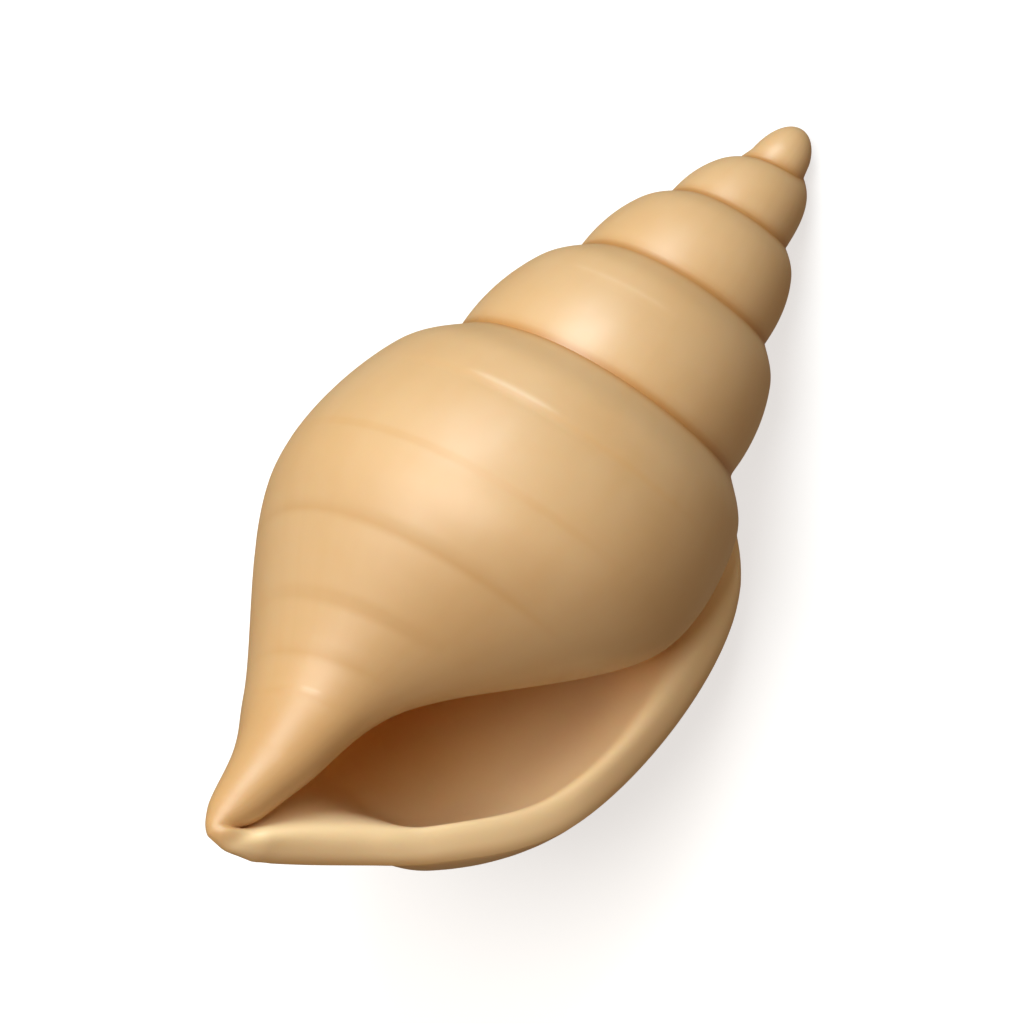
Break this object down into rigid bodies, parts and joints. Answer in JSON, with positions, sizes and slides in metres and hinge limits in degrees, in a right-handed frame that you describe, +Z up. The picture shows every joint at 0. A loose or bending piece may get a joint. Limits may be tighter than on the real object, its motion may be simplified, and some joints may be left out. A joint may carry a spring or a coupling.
{
  "type": "dove shell",
  "caption": "Slender sea snail shell with a tall stepped spire, a swollen last whorl, a long mouth with a rounded lip, and an open canal.",
  "frame": {"origin": "centre of the bottom of the box that holds the shell as it lies on its back", "axes": "+Z up, +Y along the shell toward the tip of the spire, +X to the right when looking from the canal toward the spire with the mouth up"},
  "size_m": [0.0136, 0.0278, 0.014],
  "materials": {
    "shell": "satin, honey tan, darker inside the mouth"
  },
  "bodies": {
    "root": {"shell": "shell"}
  },
  "joints": []
}
